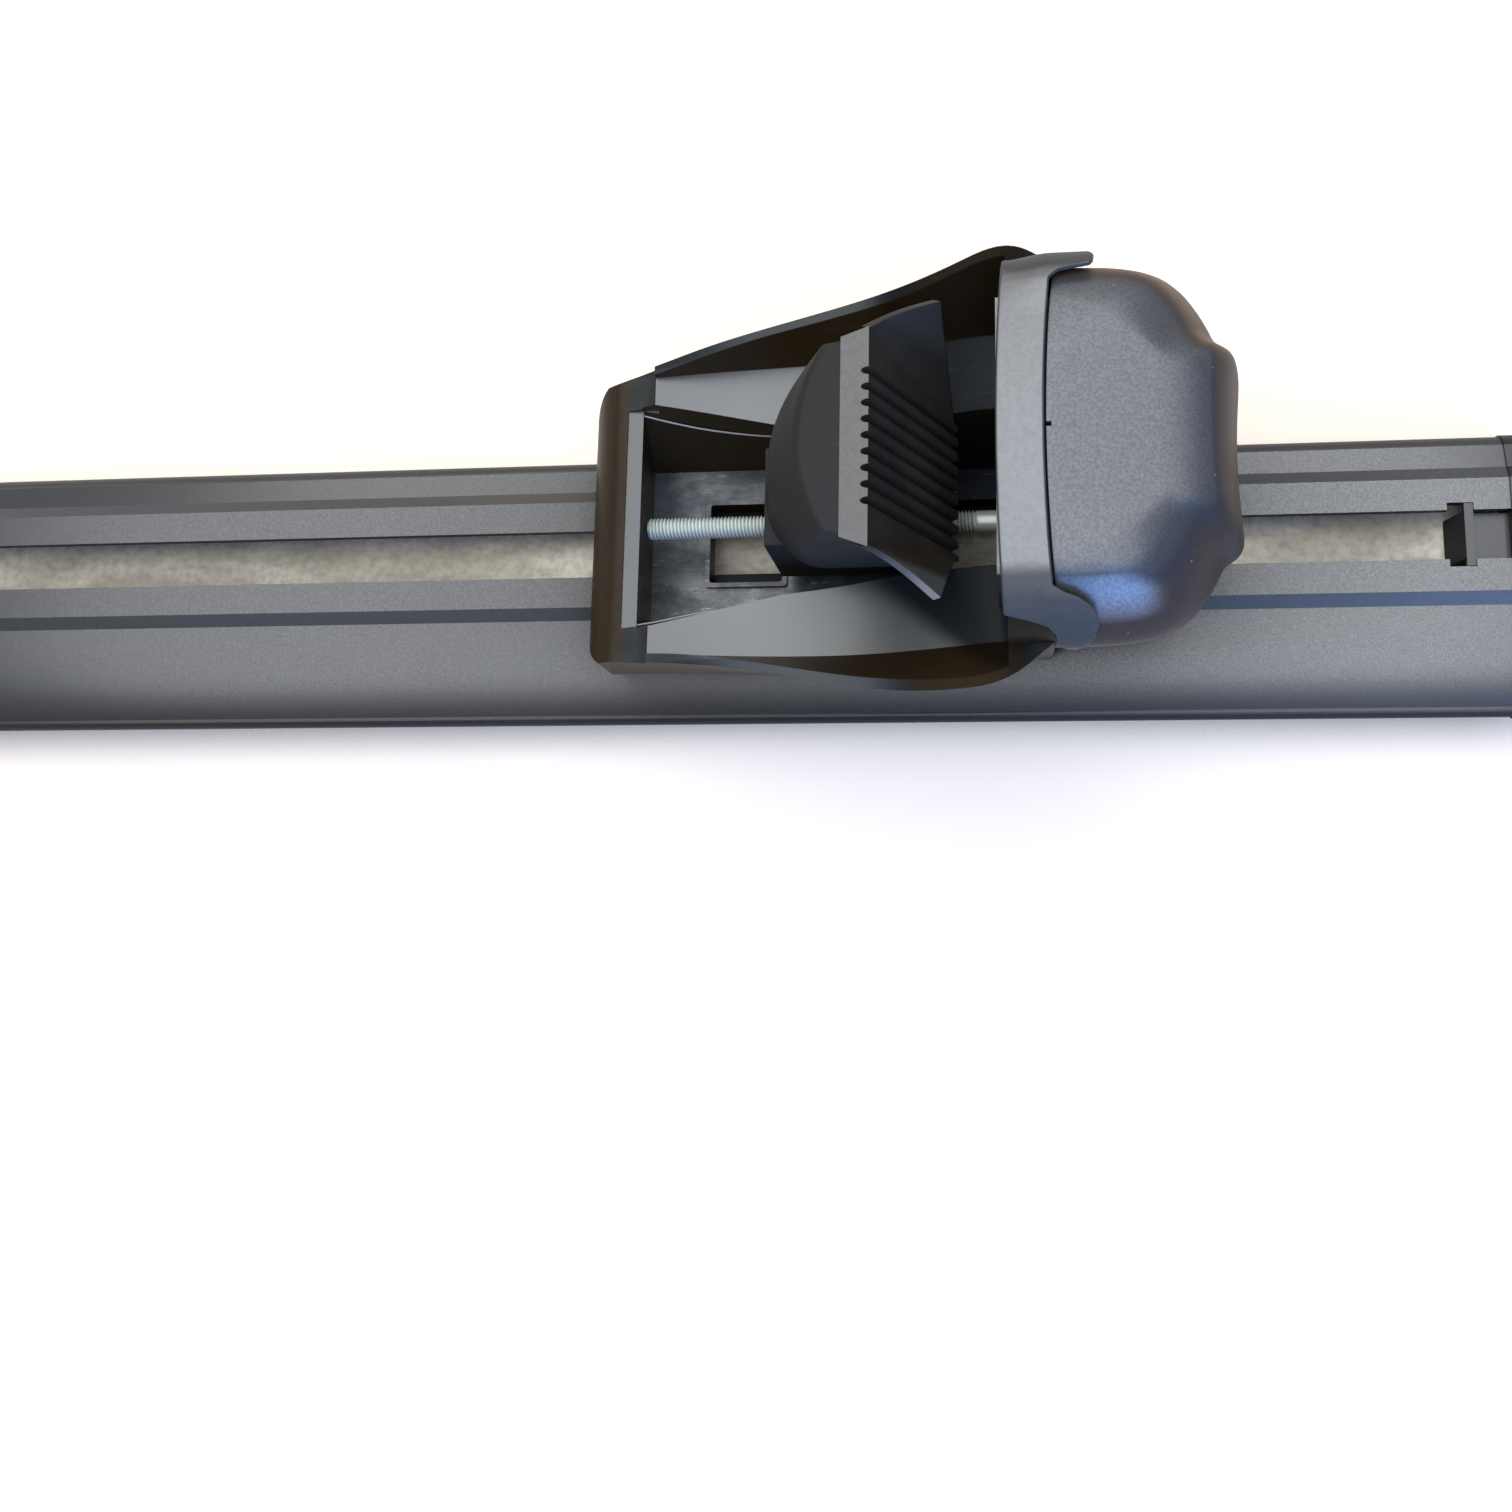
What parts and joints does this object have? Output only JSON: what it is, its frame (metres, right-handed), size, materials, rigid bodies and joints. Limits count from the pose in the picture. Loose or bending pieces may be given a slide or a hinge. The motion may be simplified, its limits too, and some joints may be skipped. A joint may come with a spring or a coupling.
{
  "type": "roof rack crossbar",
  "caption": "Aero roof crossbar stored upside down, with sliding rail-clamp feet, jaws driven by clamp bolts, slotted wing-shaped extrusion and end caps.",
  "frame": {"origin": "centre of the bounding box in plan, at the level of the bar's load face, which lies on the floor", "axes": "+X along the bar to its right-hand end, +Y to the rounded leading edge, +Z from the load face to the feet; on a car the part is turned over, so that the feet point down and the load face up"},
  "size_m": [1.2, 0.109, 0.124],
  "materials": {
    "bar_coating": "satin black powder coat with a fine sparkle",
    "strip_rubber": "matte black EPDM",
    "cap_plastic": "matte black nylon",
    "base_plastic": "satin black glass-filled nylon",
    "pad_rubber": "mid-grey soft elastomer, dusty",
    "cover_plastic": "fine-textured slate grey plastic",
    "zinc_steel": "clear zinc plating",
    "slot_steel": "plain zinc-plated steel",
    "jaw_plastic": "matte black nylon",
    "jaw_rubber": "dark grey moulded rubber, light on its worn edges"
  },
  "bodies": {
    "bar": {"bar_extrusion": "bar_coating", "load_strip": "strip_rubber", "end_cap_right": "cap_plastic", "end_cap_left": "cap_plastic"},
    "right_foot": {"foot_base_right": "base_plastic", "rail_pad_right": "pad_rubber", "slot_plate_right": "slot_steel", "slot_screws_right": "zinc_steel", "thrust_washer_right": "zinc_steel"},
    "right_jaw": {"jaw_block_right": "jaw_plastic", "jaw_pad_right": "jaw_rubber", "jaw_nut_right": "zinc_steel"},
    "right_bolt": {"clamp_bolt_right": "zinc_steel"},
    "right_cover": {"outer_cover_right": "cover_plastic"},
    "left_foot": {"foot_base_left": "base_plastic", "rail_pad_left": "pad_rubber", "slot_plate_left": "slot_steel", "slot_screws_left": "zinc_steel", "thrust_washer_left": "zinc_steel"},
    "left_jaw": {"jaw_block_left": "jaw_plastic", "jaw_pad_left": "jaw_rubber", "jaw_nut_left": "zinc_steel"},
    "left_bolt": {"clamp_bolt_left": "zinc_steel"},
    "left_cover": {"outer_cover_left": "cover_plastic"}
  },
  "joints": [
    {"name": "right_foot_slide", "type": "slide", "parent": "bar", "child": "right_foot", "axis": [1, 0, 0], "range_m": [-0.2, 0.035]},
    {"name": "right_jaw_slide", "type": "slide", "parent": "right_foot", "child": "right_jaw", "axis": [1, 0, 0], "range_m": [-0.03, 0.005]},
    {"name": "right_bolt_spin", "type": "hinge", "parent": "right_foot", "child": "right_bolt", "pos_m": [0.402, 0, 0.051], "axis": [1, 0, 0], "continuous": true},
    {"name": "right_cover_slide", "type": "slide", "parent": "right_foot", "child": "right_cover", "axis": [1, 0, 0], "range_m": [0, 0.04]},
    {"name": "left_foot_slide", "type": "slide", "parent": "bar", "child": "left_foot", "axis": [-1, 0, 0], "range_m": [-0.2, 0.035]},
    {"name": "left_jaw_slide", "type": "slide", "parent": "left_foot", "child": "left_jaw", "axis": [-1, 0, 0], "range_m": [-0.03, 0.005]},
    {"name": "left_bolt_spin", "type": "hinge", "parent": "left_foot", "child": "left_bolt", "pos_m": [-0.402, 0, 0.051], "axis": [-1, 0, 0], "continuous": true},
    {"name": "left_cover_slide", "type": "slide", "parent": "left_foot", "child": "left_cover", "axis": [-1, 0, 0], "range_m": [0, 0.04]}
  ],
  "couplings": [
    {"joint": "right_bolt_spin", "follows": "right_jaw_slide", "rad_per_m": -6283.2},
    {"joint": "left_bolt_spin", "follows": "left_jaw_slide", "rad_per_m": -6283.2}
  ]
}
